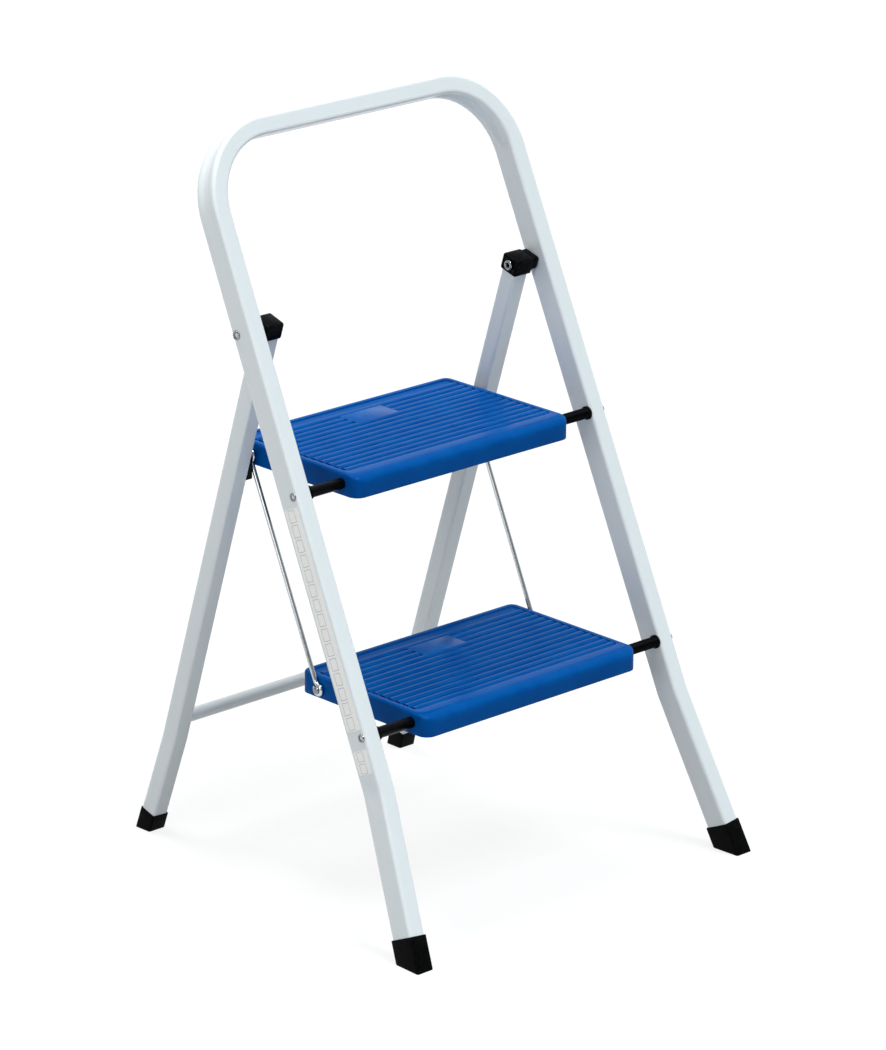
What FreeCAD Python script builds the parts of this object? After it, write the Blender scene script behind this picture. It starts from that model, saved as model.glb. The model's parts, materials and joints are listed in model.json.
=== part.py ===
import FreeCAD, Part
import os
from math import sin, cos, tan, atan2, radians, degrees, sqrt, pi

V = FreeCAD.Vector
os.makedirs("parts", exist_ok=True)

# Overall sizes, mm
hinge_height = 608.4       # hinge of the rear frame, on the front legs' centre line
rail_rise = 183.6          # centre of the top rail above that
front_lean = 24.5          # front frame leans back by this angle, degrees
leg_half = 213.8           # centre of a front leg from the middle, at the splay bend
leg_taper = 0.0102         # front legs close in by this much per mm of height
foot_splay = 19.7          # front feet stand this much further out than the bend
rear_foot_splay = 7.4      # the same for the rear feet

# Tubes
front_w, front_d = 20.0, 30.0
rear_w, rear_d = 20.0, 20.0
front_wall, rear_wall = 1.2, 1.2
front_round, rear_round = 3.5, 2.5
rail_bend = 82.0           # centre line radius of the two top corners
splay_bend = 60.0          # centre line radius of the bends above the feet
crossbar_dia, crossbar_wall = 14.5, 1.2

# Heights above the floor
upper_rod_height, lower_rod_height = 449.6, 217.4
splay_height, rear_splay_height = 165.4, 113.6
crossbar_height = 135.7
hinge_edge = 7.2           # hinge axis in from the front leg's back face
rod_edge = 6.5             # pivot rods in from its front face

# Treads, measured from the pivot rod's axis
tread_front, tread_back = 22.5, 170.0
tread_up, tread_down = 11.7, 13.0
tread_wall = 3.0
recess_depth, rim_width = 2.2, 7.0
rib_count, rib_radius = 13, 4.0
first_rib, rib_inset = 6.8, 24.0       # front rib behind the rod, last rib in from the rear edge
patch_half, patch_depth, patch_inset = 30.0, 31.0, 29.0
link_inset, link_down = 30.5, 2.5      # link pins in from the tread's rear edge, and below the rod

# Pins, clearances and small parts
rod_radius, rivet_radius, link_pin, step_rod = 4.0, 4.0, 3.0, 3.5
run_clear = 0.05           # radial clearance of every pin in its hole
side_gap = 0.5             # sideways gap between pieces that turn past each other
leg_gap = 0.7              # hinge block to the front leg, which leans a little
hinge_gap = 9.5            # front leg's inner face to the cap over the rear leg
rod_end_length, rod_end_gap = 6.2, 1.6 # rear rod's headed ends, and their gap to the rear legs
rod_behind_leg = 4.28263    # rear rod's axis behind the rear legs' centre line
cap_wall, cap_reach = 2.0, 9.5
link_wire = 5.0
spacer_wall, collar_wall = 2.0, 3.4
boot_wall, boot_front, boot_rear = 1.1, 31.0, 23.0
boot_sole = 12.0           # tube end above the floor, along the leg
end_radius = 5.0           # headed ends of the upper tread's rear rod
hook_clear = 0.4           # those ends to the hooks that hold them
lift_angle = 59.4          # way in which a rod end leaves its hook, above level

ca, sa, ta = cos(radians(front_lean)), sin(radians(front_lean)), tan(radians(front_lean))

rail_s = (hinge_height + rail_rise) / ca
splay_s = splay_height / ca
hinge_s = hinge_height / ca
rod_s = {"upper": upper_rod_height / ca, "lower": lower_rod_height / ca}


hinge_offset = front_d / 2 - hinge_edge
rod_offset = rod_edge - front_d / 2
link_back = tread_back - link_inset
last_rib = tread_back - rib_inset
rib_pitch = (last_rib - first_rib) / (rib_count - 1)


def leg_x(s):
    return leg_half - leg_taper * max(0.0, s - splay_s) * ca


def frame_yz(s, off):
    return s * sa + off * ca, s * ca - off * sa


hinge_y, hinge_z = frame_yz(hinge_s, hinge_offset)
rod_yz = {k: frame_yz(rod_s[k], rod_offset) for k in rod_s}
rear_rod_y, rear_rod_z = rod_yz["upper"][0] + link_back, rod_yz["upper"][1] - link_down
rear_lean = degrees(atan2(rear_rod_y - rod_behind_leg - hinge_y, hinge_z - rear_rod_z))
cb, sb, tb = cos(radians(rear_lean)), sin(radians(rear_lean)), tan(radians(rear_lean))
rear_x = leg_x(hinge_s) - front_w / 2 - hinge_gap - cap_wall - rear_w / 2
tread_half = rear_x - rear_w / 2 - rod_end_gap - rod_end_length - link_wire - 2 * side_gap
rear_foot_y = hinge_y + hinge_z * tb
rear_len = hinge_z / cb
rear_splay_s = rear_splay_height / cb
front_edge = -(front_d / 2 + boot_wall) / ca
rear_edge = rear_foot_y + (rear_d / 2 + boot_wall) / cb
y_shift = -(front_edge + rear_edge) / 2


def front_place(shape):
    shape.rotate(V(0, 0, 0), V(1, 0, 0), -front_lean)
    shape.translate(V(0, y_shift, 0))
    return shape


def rear_place(shape):
    shape.rotate(V(0, 0, 0), V(1, 0, 0), rear_lean)
    shape.translate(V(0, rear_foot_y + y_shift, 0))
    return shape


def step_place(shape, which):
    y, z = rod_yz[which]
    shape.translate(V(0, y + y_shift, z))
    return shape


def block(x0, x1, y0, y1, z0, z1):
    return Part.makeBox(x1 - x0, y1 - y0, z1 - z0, V(x0, y0, z0))


def x_cylinder(r, x0, x1, y, z):
    return Part.makeCylinder(r, x1 - x0, V(x0, y, z), V(1, 0, 0))


def rounded_outline(w, d, r):
    """closed wire in the XY plane, centred on the origin"""
    a, b = w / 2, d / 2
    k = r * (1 - sqrt(0.5))
    pts = [((-a + r, -b), (a - r, -b)), ((a, -b + r), (a, b - r)),
           ((a - r, b), (-a + r, b)), ((-a, b - r), (-a, -b + r))]
    mids = [(a - k, -b + k), (a - k, b - k), (-a + k, b - k), (-a + k, -b + k)]
    edges = []
    for i, (p, q) in enumerate(pts):
        edges.append(Part.makeLine(V(p[0], p[1], 0), V(q[0], q[1], 0)))
        n = pts[(i + 1) % 4][0]
        edges.append(Part.Arc(V(q[0], q[1], 0), V(mids[i][0], mids[i][1], 0), V(n[0], n[1], 0)).toShape())
    return Part.Wire(edges)


def bent_path(points, radii):
    """wire through (x, s) points in the plane y=0, with an arc at each inner point"""
    edges, last = [], V(points[0][0], 0, points[0][1])
    for i in range(1, len(points) - 1):
        p = V(points[i][0], 0, points[i][1])
        u = (V(points[i - 1][0], 0, points[i - 1][1]) - p).normalize()
        w = (V(points[i + 1][0], 0, points[i + 1][1]) - p).normalize()
        half = u.getAngle(w) / 2
        cut = radii[i - 1] / tan(half)
        a, b = p + u * cut, p + w * cut
        m = p + (u + w).normalize() * (radii[i - 1] / sin(half) - radii[i - 1])
        edges += [Part.makeLine(last, a), Part.Arc(a, m, b).toShape()]
        last = b
    edges.append(Part.makeLine(last, V(points[-1][0], 0, points[-1][1])))
    return Part.Wire(edges)


def sweep(outline, path, start, direction):
    tilt = degrees(atan2(direction[0], direction[1]))
    wire = outline.copy()
    wire.rotate(V(0, 0, 0), V(0, 1, 0), tilt)
    wire.translate(V(start[0], 0, start[1]))
    return path.makePipeShell([wire], True, False)


def tube_along(points, radii, w, d, r, wall):
    path = bent_path(points, radii)
    direction = (points[1][0] - points[0][0], points[1][1] - points[0][1])
    solid = sweep(rounded_outline(w, d, r), path, points[0], direction)
    core = sweep(rounded_outline(w - 2 * wall, d - 2 * wall, r - wall), path, points[0], direction)
    return solid.cut(core)


def foot_point(foot_x, bend_x, bend_s, up):
    """point on the splayed lower leg, the given distance along it from the floor"""
    run = sqrt((foot_x - bend_x) ** 2 + bend_s ** 2)
    return foot_x + (bend_x - foot_x) * up / run, bend_s * up / run


def front_frame_tube():
    foot = foot_point(leg_half + foot_splay, leg_half, splay_s, boot_sole)
    top = leg_x(rail_s)
    half = [(foot[0], foot[1]), (leg_half, splay_s), (top, rail_s)]
    points = [(-x, s) for x, s in half] + list(reversed(half))
    tube = tube_along(points, [splay_bend, rail_bend, rail_bend, splay_bend],
                      front_w, front_d, front_round, front_wall)
    for s, off, r in ((hinge_s, hinge_offset, rivet_radius), (rod_s["upper"], rod_offset, rod_radius),
                      (rod_s["lower"], rod_offset, rod_radius)):
        tube = tube.cut(x_cylinder(r + run_clear, -2 * leg_half, 2 * leg_half, off, s))
    return front_place(tube)


def boot(foot_x, bend_x, bend_s, w, d, r, reach, place, side):
    """slip-on foot around a splayed tube end, cut level with the floor"""
    lean = degrees(atan2(bend_x - foot_x, bend_s))
    shell = Part.Face(rounded_outline(w + 2 * boot_wall, d + 2 * boot_wall, r + boot_wall))
    shell = shell.extrude(V(0, 0, reach + 30))
    shell.translate(V(0, 0, -30))
    socket = Part.Face(rounded_outline(w, d, r)).extrude(V(0, 0, 100))
    socket.translate(V(0, 0, boot_sole))
    body = shell.cut(socket)
    body.rotate(V(0, 0, 0), V(0, 1, 0), lean)
    body.translate(V(foot_x, 0, 0))
    if side < 0:
        body = body.mirror(V(0, 0, 0), V(1, 0, 0))
    body = place(body)
    return body.cut(block(-900, 900, -900, 900, -200, 0))


def pivot_rod(which):
    """plain rod with a headed and dished end outside each front leg"""
    s = rod_s[which]
    reach = leg_x(s) + front_w / 2 + 0.07
    rod = x_cylinder(rod_radius, -reach - 1, reach + 1, rod_offset, s)
    for side in (-1, 1):
        head = x_cylinder(rod_radius + 2.2, 0, 1.8, rod_offset, s)
        head = head.cut(x_cylinder(rod_radius - 1.5, 1.0, 1.9, rod_offset, s))
        if side < 0:
            head.rotate(V(0, rod_offset, s), V(0, 0, 1), 180)
        head.translate(V(side * reach, 0, 0))
        rod = rod.cut(block(reach + 0.9, reach + 9, -60, 60, s - 30, s + 30)) if side > 0 else \
            rod.cut(block(-reach - 9, -reach - 0.9, -60, 60, s - 30, s + 30))
        rod = rod.fuse(head)
    return front_place(rod.removeSplitter())


def rod_spacer(which, side):
    """moulded sleeve between a front leg and the tread, with a collar at the leg"""
    s = rod_s[which]
    outer = leg_x(s) - front_w / 2 - 0.09
    inner = tread_half + side_gap
    sleeve = x_cylinder(rod_radius + spacer_wall, inner, outer, rod_offset, s)
    sleeve = sleeve.fuse(x_cylinder(rod_radius + collar_wall, outer - 3, outer, rod_offset, s))
    sleeve = sleeve.cut(x_cylinder(rod_radius + run_clear, inner - 1, outer + 1, rod_offset, s))
    if side < 0:
        sleeve = sleeve.mirror(V(0, 0, 0), V(1, 0, 0))
    return front_place(sleeve)


def hinge_rivet(side):
    """rivet through the front leg, the hinge block and the rear leg's top"""
    outer = leg_x(hinge_s) + front_w / 2 + 0.07
    inner = rear_x - rear_w / 2 - cap_wall - 0.3
    pin = x_cylinder(rivet_radius, inner, outer, hinge_offset, hinge_s)
    dome = Part.makeSphere(8.5, V(outer - 6.3, hinge_offset, hinge_s))
    dome = dome.common(x_cylinder(9, outer, outer + 5, hinge_offset, hinge_s))
    head = x_cylinder(5.6, inner - 1.8, inner, hinge_offset, hinge_s)
    head = head.cut(x_cylinder(2.4, inner - 1.9, inner - 0.9, hinge_offset, hinge_s))
    rivet = pin.fuse(dome).fuse(head).removeSplitter()
    if side < 0:
        rivet = rivet.mirror(V(0, 0, 0), V(1, 0, 0))
    return front_place(rivet)


def leg_label(low, high):
    """plain sticker on the outer face of the left front leg"""
    x = leg_x(low) + front_w / 2 + 0.01
    plate = block(x, x + 0.3, -10.5, 10.5, low, high)
    plate.rotate(V(x, 0, low), V(0, 1, 0), -degrees(atan2(leg_taper * ca, 1.0)))
    plate = plate.mirror(V(0, 0, 0), V(1, 0, 0))
    return front_place(plate)


def rear_leg(side):
    foot = foot_point(rear_x + rear_foot_splay, rear_x, rear_splay_s, boot_sole)
    points = [foot, (rear_x, rear_splay_s), (rear_x, rear_len + cap_reach - cap_wall)]
    leg = tube_along(points, [splay_bend], rear_w, rear_d, rear_round, rear_wall)
    leg = leg.cut(x_cylinder(rivet_radius + run_clear, 0, 2 * rear_x, 0, rear_len))
    if side < 0:
        leg = leg.mirror(V(0, 0, 0), V(1, 0, 0))
    hole = x_cylinder(2.0 + run_clear, *sorted((0, side * rear_x)), *hook_rivet_point())
    return rear_place(leg).cut(hook_place(hole))


def crossbar():
    """round tube standing square between the two rear legs"""
    s = crossbar_height / cb
    reach = rear_x - rear_w / 2
    if s < rear_splay_s:
        reach += rear_foot_splay * (rear_splay_s - s) / rear_splay_s
    bar = x_cylinder(crossbar_dia / 2, -reach, reach, 0, s)
    bar = bar.cut(x_cylinder(crossbar_dia / 2 - crossbar_wall, -reach, reach, 0, s))
    return rear_place(bar)


def hook_place(shape):
    """moves a piece drawn around the rear rod's axis to its place in the stool"""
    shape.translate(V(0, rear_rod_y + y_shift, rear_rod_z))
    return shape


def hook_rivet_point():
    """rivet of the hook on the rear leg's centre line, from the rear rod's axis"""
    drop = 17.0
    return drop * tb - rod_behind_leg, -drop


def step_hook(side):
    """moulded hook on the rear leg's inner face that the rear rod's end drops into"""
    face = rear_x - rear_w / 2
    x0, x1 = face - rod_end_length - rod_end_gap + 1.2, face
    r = end_radius + hook_clear
    hook = block(x0, x1, -8.6, 11.0, -24.0, 1.0)
    hook = hook.makeFillet(3.0, [e for e in hook.Edges if abs(e.tangentAt(0).x) > 0.99])
    hook = hook.cut(x_cylinder(r, x0 - 1, x1 + 1, 0, 0))
    path = block(x0 - 1, x1 + 1, 0, 40, -r, r)
    path.rotate(V(0, 0, 0), V(1, 0, 0), lift_angle)
    hook = hook.cut(path)
    y, z = hook_rivet_point()
    hook = hook.cut(x_cylinder(2.0 + run_clear, x0 - 1, x1 + 1, y, z))
    hook = hook.cut(x_cylinder(4.0, x0 - 1, x0 + 2.2, y, z))
    if side < 0:
        hook = hook.mirror(V(0, 0, 0), V(1, 0, 0))
    return hook_place(hook)


def hook_rivet(side):
    face = rear_x - rear_w / 2
    y, z = hook_rivet_point()
    rivet = x_cylinder(2.0, face - 4.4, face + rear_wall + 0.9, y, z)
    rivet = rivet.fuse(x_cylinder(3.8, face - 6.0, face - 4.4, y, z))
    rivet = rivet.fuse(x_cylinder(3.0, face + rear_wall + 0.02, face + rear_wall + 0.9, y, z))
    rivet = rivet.removeSplitter()
    if side < 0:
        rivet = rivet.mirror(V(0, 0, 0), V(1, 0, 0))
    return hook_place(rivet)


def hinge_block(side):
    """moulded cap over the rear leg's top, with a spacer against the front leg"""
    low, high = rear_len - cap_reach, rear_len + cap_reach
    w, d = rear_w / 2 + cap_wall, rear_d / 2 + cap_wall
    leg_face = leg_x(hinge_s) - front_w / 2
    cap = block(rear_x - w, rear_x + w, -d, d, low, high)
    cap = cap.makeFillet(2.0, [e for e in cap.Edges if abs(e.CenterOfMass.z - high) < 0.01
                               or abs(e.CenterOfMass.x - (rear_x - w)) < 0.01])
    spacer = block(rear_x + w, leg_face - leg_gap, -d + 1, d - 1, low + 3.8, high - 0.8)
    spacer = spacer.makeFillet(3.0, [e for e in spacer.Edges if e.tangentAt(0).isEqual(V(1, 0, 0), 0.01)
                                     or e.tangentAt(0).isEqual(V(-1, 0, 0), 0.01)])
    cap = cap.fuse(spacer).removeSplitter()
    socket = Part.Face(rounded_outline(rear_w, rear_d, rear_round)).extrude(V(0, 0, 2 * cap_reach + 5))
    socket.translate(V(rear_x, 0, high - cap_wall - 2 * cap_reach - 5))
    cap = cap.cut(socket).cut(x_cylinder(rivet_radius + run_clear, 0, 2 * rear_x, 0, rear_len))
    if side < 0:
        cap = cap.mirror(V(0, 0, 0), V(1, 0, 0))
    return rear_place(cap)


def plan_prism(half, front, back, r_front, r_back, z0, z1):
    """upright prism with rounded plan corners"""
    k = 1 - sqrt(0.5)
    a = half
    corner = [(-a, -front, r_front), (a, -front, r_front), (a, back, r_back), (-a, back, r_back)]
    sx, sy = [1, -1, -1, 1], [1, 1, -1, -1]
    edges = []
    for i in range(4):
        x, y, r = corner[i]
        nx, ny, nr = corner[(i + 1) % 4]
        px, py = (x + sx[i] * r, y) if i % 2 == 0 else (x, y + sy[i] * r)
        qx, qy = (nx + sx[(i + 1) % 4] * nr, ny) if i % 2 == 0 else (nx, ny + sy[(i + 1) % 4] * nr)
        edges.append(Part.makeLine(V(px, py, z0), V(qx, qy, z0)))
        j = (i + 1) % 4
        x, y, r = corner[j]
        ends = [V(x + sx[j] * r, y, z0), V(x, y + sy[j] * r, z0)]
        if j % 2 == 0:
            ends.reverse()
        mid = V(x + sx[j] * r * k, y + sy[j] * r * k, z0)
        edges.append(Part.Arc(ends[0], mid, ends[1]).toShape())
    return Part.Face(Part.Wire(edges)).extrude(V(0, 0, z1 - z0))


def nosing_cut():
    """what is taken off the front so that the nosing rolls over"""
    peak, low = 13.0, 2.0
    f = tread_front
    k = sqrt(0.5)
    mid = V(0, -f + peak * (1 - k), low + (tread_up - low) * k)
    edges = [Part.Arc(V(0, -f, low), mid, V(0, -f + peak, tread_up)).toShape(),
             Part.makeLine(V(0, -f + peak, tread_up), V(0, -f + peak, tread_up + 5)),
             Part.makeLine(V(0, -f + peak, tread_up + 5), V(0, -f - 5, tread_up + 5)),
             Part.makeLine(V(0, -f - 5, tread_up + 5), V(0, -f - 5, low)),
             Part.makeLine(V(0, -f - 5, low), V(0, -f, low))]
    tool = Part.Face(Part.Wire(edges)).extrude(V(4 * tread_half, 0, 0))
    tool.translate(V(-2 * tread_half, 0, 0))
    return tool


def tread_shell():
    h = tread_half
    solid = plan_prism(h, tread_front, tread_back, 12, 10, -tread_down, tread_up)
    rims = [e for e in solid.Edges if abs(e.CenterOfMass.z - tread_up) < 0.01]
    solid = solid.makeFillet(3.0, rims).cut(nosing_cut())
    w = tread_wall
    plate = tread_up - recess_depth - w
    hollow = plan_prism(h - w, tread_front - w - 0.5, tread_back - w, 9, 7, -tread_down - 1, plate)
    return solid.cut(hollow)


def tread_top(solid):
    """sunken field with half-round ribs and a plain patch at the rear"""
    h = tread_half
    floor = tread_up - recess_depth
    field = plan_prism(h - rim_width, -1.0, tread_back - rim_width, 4, 6, floor, tread_up + 1)
    solid = solid.cut(field)
    reach = h - rim_width - 3
    for i in range(rib_count):
        y = last_rib - i * rib_pitch
        rib = x_cylinder(rib_radius, -reach, reach, y, floor - 1.6)
        rib = rib.common(block(-reach, reach, y - 6, y + 6, floor - 0.6, tread_up + 3))
        solid = solid.fuse(rib)
    top = floor - 1.6 + rib_radius
    back = tread_back - patch_inset
    patch = block(-patch_half, patch_half, back - patch_depth, back, floor - 0.5, top + 0.1)
    return solid.fuse(patch)


def tread_inside(solid):
    """stiffening webs and the bosses for rod and link pins"""
    h, w = tread_half, tread_wall
    plate = tread_up - recess_depth - w
    front, back = -tread_front + w + 0.4, tread_back - w + 0.1
    for x in (-0.6, -0.2, 0.2, 0.6):
        solid = solid.fuse(block(x * h - 1.2, x * h + 1.2, front, back, -5.5, plate + 0.1))
    for y in (tread_back * 0.28, tread_back * 0.62):
        solid = solid.fuse(block(-h + w - 0.1, h - w + 0.1, y - 1.2, y + 1.2, -5.5, plate + 0.1))
    for side in (-1, 1):
        inner, outer = sorted((side * (h - w + 0.5), side * (h - w - 10)))
        solid = solid.fuse(x_cylinder(rod_radius + 3.5, inner, outer, 0, 0).common(
            block(-h, h, -30, 30, -tread_down, plate + 0.1)))
        inner, outer = sorted((side * (h - w + 0.5), side * (h - w - 5)))
        solid = solid.fuse(x_cylinder(step_rod + 2.5, inner, outer, link_back, -link_down))
    return solid


def tread(which):
    h = tread_half
    solid = tread_inside(tread_top(tread_shell()))
    solid = solid.cut(x_cylinder(rod_radius + run_clear, -h - 1, h + 1, 0, 0))
    if which == "upper":
        solid = solid.cut(x_cylinder(step_rod + run_clear, -h - 1, h + 1, link_back, -link_down))
        relief = block(-h - 1, h + 1, link_back - 17, link_back + 18, -tread_down - 1, -tread_down + 3.5)
        solid = solid.cut(relief)
    else:
        for side in (-1, 1):
            a, b = sorted((side * (h + 1), side * (h - tread_wall - 6)))
            solid = solid.cut(x_cylinder(link_pin + run_clear, a, b, link_back, -link_down))
    return step_place(solid.removeSplitter(), which)


def rear_step_rod():
    """rod across the upper tread's rear that carries the links and rests in the hooks"""
    reach = tread_half + 2 * side_gap + link_wire
    end = rear_x - rear_w / 2 - rod_end_gap
    rod = x_cylinder(step_rod, -reach, reach, link_back, -link_down)
    for side in (-1, 1):
        a, b = sorted((side * reach, side * end))
        head = x_cylinder(end_radius, a, b, link_back, -link_down)
        rim = [e for e in head.Edges if abs(e.CenterOfMass.x - side * end) < 0.01 and e.Length > 5]
        rod = rod.fuse(head.makeFillet(1.2, rim))
    return step_place(rod.removeSplitter(), "upper")


def link_rivet(side):
    """domed pin that holds a link's lower eye against the lower tread's side"""
    h = tread_half
    reach = h + side_gap + link_wire + side_gap
    pin = x_cylinder(link_pin, h - tread_wall - 5.6, reach, link_back, -link_down)
    dome = Part.makeSphere(6.5, V(reach - 4.2, link_back, -link_down))
    dome = dome.common(x_cylinder(8, reach, reach + 4, link_back, -link_down))
    rivet = pin.fuse(dome).removeSplitter()
    if side < 0:
        rivet = rivet.mirror(V(0, 0, 0), V(1, 0, 0))
    return step_place(rivet, "lower")


def link_rod(side):
    """straight wire with a closed eye at each end, parallel to the front legs"""
    x = tread_half + side_gap + link_wire / 2
    ends = []
    for which, pin in (("lower", link_pin), ("upper", step_rod)):
        y, z = rod_yz[which]
        ends.append((V(x, y + link_back, z - link_down), pin + run_clear + link_wire / 2))
    (low, r0), (high, r1) = ends
    way = (high - low).normalize()
    wire = Part.makeCylinder(link_wire / 2, (high - low).Length - r0 - r1, low + way * r0, way)
    for p, r in ends:
        wire = wire.fuse(Part.makeTorus(r, link_wire / 2, p, V(1, 0, 0)))
    if side < 0:
        wire = wire.mirror(V(0, 0, 0), V(1, 0, 0))
    wire.translate(V(0, y_shift, 0))
    return wire


def save(name, *shapes):
    solids = []
    for shape in shapes:
        solids += shape.Solids
    whole = solids[0] if len(solids) == 1 else Part.makeCompound(solids)
    whole.exportStep("parts/" + name + ".step")
    print(name, len(solids), whole.isValid())


save("front_frame_tube", front_frame_tube())
foot_x = leg_half + foot_splay
rear_foot_x = rear_x + rear_foot_splay
for side, word in ((-1, "left"), (1, "right")):
    save("front_foot_" + word, boot(foot_x, leg_half, splay_s, front_w, front_d, front_round,
                                    boot_front, front_place, side))
    save("rear_foot_" + word, boot(rear_foot_x, rear_x, rear_splay_s, rear_w, rear_d, rear_round,
                                   boot_rear, rear_place, side))
    save("rear_leg_" + word, rear_leg(side))
    save("hinge_block_" + word, hinge_block(side))
    save("hinge_rivet_" + word, hinge_rivet(side))
    save(word + "_link_wire", link_rod(side))
    for which in ("upper", "lower"):
        save(which + "_rod_spacer_" + word, rod_spacer(which, side))
for which in ("upper", "lower"):
    save(which + "_pivot_rod", pivot_rod(which))
    save(which + "_tread", tread(which))
save("lower_link_rivets", link_rivet(-1), link_rivet(1))
save("rear_step_rod", rear_step_rod())
save("rear_crossbar", crossbar())
save("step_hook_left", step_hook(-1))
save("step_hook_right", step_hook(1))
save("hook_rivets", hook_rivet(-1), hook_rivet(1))
save("upper_leg_label", leg_label(rod_s["lower"] + 9, rod_s["upper"] - 11))
save("lower_leg_label", leg_label(rod_s["lower"] - 37, rod_s["lower"] - 12))

print("shift", round(y_shift, 4), "hinge", round(hinge_y + y_shift, 4), round(hinge_z, 4))
for which in ("upper", "lower"):
    y, z = rod_yz[which]
    print(which, "rod", round(y + y_shift, 4), round(z, 4))
    print(which, "link pin", round(y + y_shift + link_back, 4), round(z - link_down, 4))
print("tread half", round(tread_half, 4), "rear leg", round(rear_x, 4))
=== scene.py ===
import bpy, bmesh, json
from math import sin, cos, pi, radians, hypot
from mathutils import Vector, Matrix
from mathutils.kdtree import KDTree


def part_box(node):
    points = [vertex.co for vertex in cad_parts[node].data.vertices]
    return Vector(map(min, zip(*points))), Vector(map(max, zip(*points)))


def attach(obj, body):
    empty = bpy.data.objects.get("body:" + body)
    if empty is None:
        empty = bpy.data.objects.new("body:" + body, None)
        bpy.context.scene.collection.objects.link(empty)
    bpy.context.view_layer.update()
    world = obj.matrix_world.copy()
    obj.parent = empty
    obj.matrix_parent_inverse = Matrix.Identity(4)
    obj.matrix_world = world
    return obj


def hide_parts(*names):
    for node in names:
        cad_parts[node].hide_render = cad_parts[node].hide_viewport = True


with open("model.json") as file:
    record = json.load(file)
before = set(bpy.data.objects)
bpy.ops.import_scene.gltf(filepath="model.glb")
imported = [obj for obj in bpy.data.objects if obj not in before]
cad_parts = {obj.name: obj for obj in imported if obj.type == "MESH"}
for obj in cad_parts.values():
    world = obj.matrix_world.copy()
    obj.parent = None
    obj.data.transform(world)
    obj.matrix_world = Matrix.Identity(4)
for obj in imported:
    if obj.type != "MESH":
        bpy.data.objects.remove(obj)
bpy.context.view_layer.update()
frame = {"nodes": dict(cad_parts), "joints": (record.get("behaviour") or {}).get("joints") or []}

mm = 0.001
scene = bpy.context.scene
jointAt = {j["name"]: Vector(j["pos_m"]) / mm for j in frame["joints"]}

# shared layout in mm, the same numbers as the solids
layout = {
    "frontLean": 24.5, "frontFootY": -233.1583, "frontFootX": 233.5,
    "legHalf": 213.8, "legTaper": 0.0102, "splayS": 181.762,
    "railS": 792 / cos(radians(24.5)),
    "rearLean": 17.2589, "rearFootY": 239.1267, "rearX": 177.78, "rearFootX": 185.18,
    "rearSplayS": 118.956,
    "treadHalf": 153.98, "pinBack": 139.5, "pinDrop": 2.5,
    "legSide": 10.0, "headGap": 0.07,
}
sinF, cosF = sin(radians(layout["frontLean"])), cos(radians(layout["frontLean"]))
sinR, cosR = sin(radians(layout["rearLean"])), cos(radians(layout["rearLean"]))
hingeS = 608.4 / cosF
rodS = {"upper": 449.6 / cosF, "lower": 217.4 / cosF}


def legX(s):
    return layout["legHalf"] - layout["legTaper"] * max(0.0, s - layout["splayS"]) * cosF


def frontPoint(x, s, o):  # across, up the leg, and back out of the front frame's plane
    return Vector((x, layout["frontFootY"] + s * sinF + o * cosF, s * cosF - o * sinF))


def rearPoint(x, s, o):
    return Vector((x, layout["rearFootY"] - s * sinR + o * cosR, s * cosR + o * sinR))


def meshFromBmesh(name, bm, angle=35):
    bmesh.ops.remove_doubles(bm, verts=bm.verts, dist=0.00001)
    bmesh.ops.recalc_face_normals(bm, faces=bm.faces)
    mesh = bpy.data.meshes.new(name)
    bm.to_mesh(mesh)
    bm.free()
    return finishMesh(name, mesh, angle)


def finishMesh(name, mesh, angle=35):
    for p in mesh.polygons:
        p.use_smooth = True
    mesh.set_sharp_from_angle(angle=radians(angle))
    obj = bpy.data.objects.new(name, mesh)
    scene.collection.objects.link(obj)
    return obj


def loft(bm, rings):  # skins rings of equal length, given in mm, and closes both ends
    made = [[bm.verts.new(Vector(p) * mm) for p in ring] for ring in rings]
    for a, b in zip(made, made[1:]):
        n = len(a)
        for i in range(n):
            bm.faces.new((a[i], a[(i + 1) % n], b[(i + 1) % n], b[i]))
    bm.faces.new(list(reversed(made[0])))
    bm.faces.new(made[-1])


def roundedRect(w, d, r, seg=5):  # (a, b) points around the origin, counterclockwise
    pts = []
    for cx, cy, a0 in ((1, -1, -90), (1, 1, 0), (-1, 1, 90), (-1, -1, 180)):
        for k in range(seg + 1):
            t = radians(a0 + 90 * k / seg)
            pts.append((cx * (w / 2 - r) + r * cos(t), cy * (d / 2 - r) + r * sin(t)))
    return pts


def lathe(bm, profile, centre, segments=40):  # profile of (x, radius) turned about a line along X
    y0, z0 = centre
    rings = []
    for x, r in profile:
        r = max(r, 0.02)
        rings.append([(x, y0 + r * cos(2 * pi * k / segments), z0 + r * sin(2 * pi * k / segments))
                      for k in range(segments)])
    loft(bm, rings)


def mirrored(profile, side):
    return [(side * x, r) for x, r in profile]


def place(obj, body, slot, material, *nodes):
    if obj.data.materials:
        obj.data.materials[0] = material
    else:
        obj.data.materials.append(material)
    if nodes:
        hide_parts(*nodes)
    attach(obj, body)
    return obj


# shader groups that several finishes share
def newGroup(name, inputs, outputs):
    tree = bpy.data.node_groups.new(name, "ShaderNodeTree")
    for label, kind, value in inputs:
        s = tree.interface.new_socket(label, in_out="INPUT", socket_type=kind)
        if value is not None:
            s.default_value = value
    for label, kind in outputs:
        tree.interface.new_socket(label, in_out="OUTPUT", socket_type=kind)
    return tree, tree.nodes.new("NodeGroupInput"), tree.nodes.new("NodeGroupOutput")


def node(tree, kind, links=(), **values):
    n = tree.nodes.new(kind)
    for k, v in values.items():
        if hasattr(n, k):
            setattr(n, k, v)
    for key, v in links:
        if isinstance(v, bpy.types.NodeSocket):
            tree.links.new(v, n.inputs[key])
        else:
            n.inputs[key].default_value = v
    return n


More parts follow.
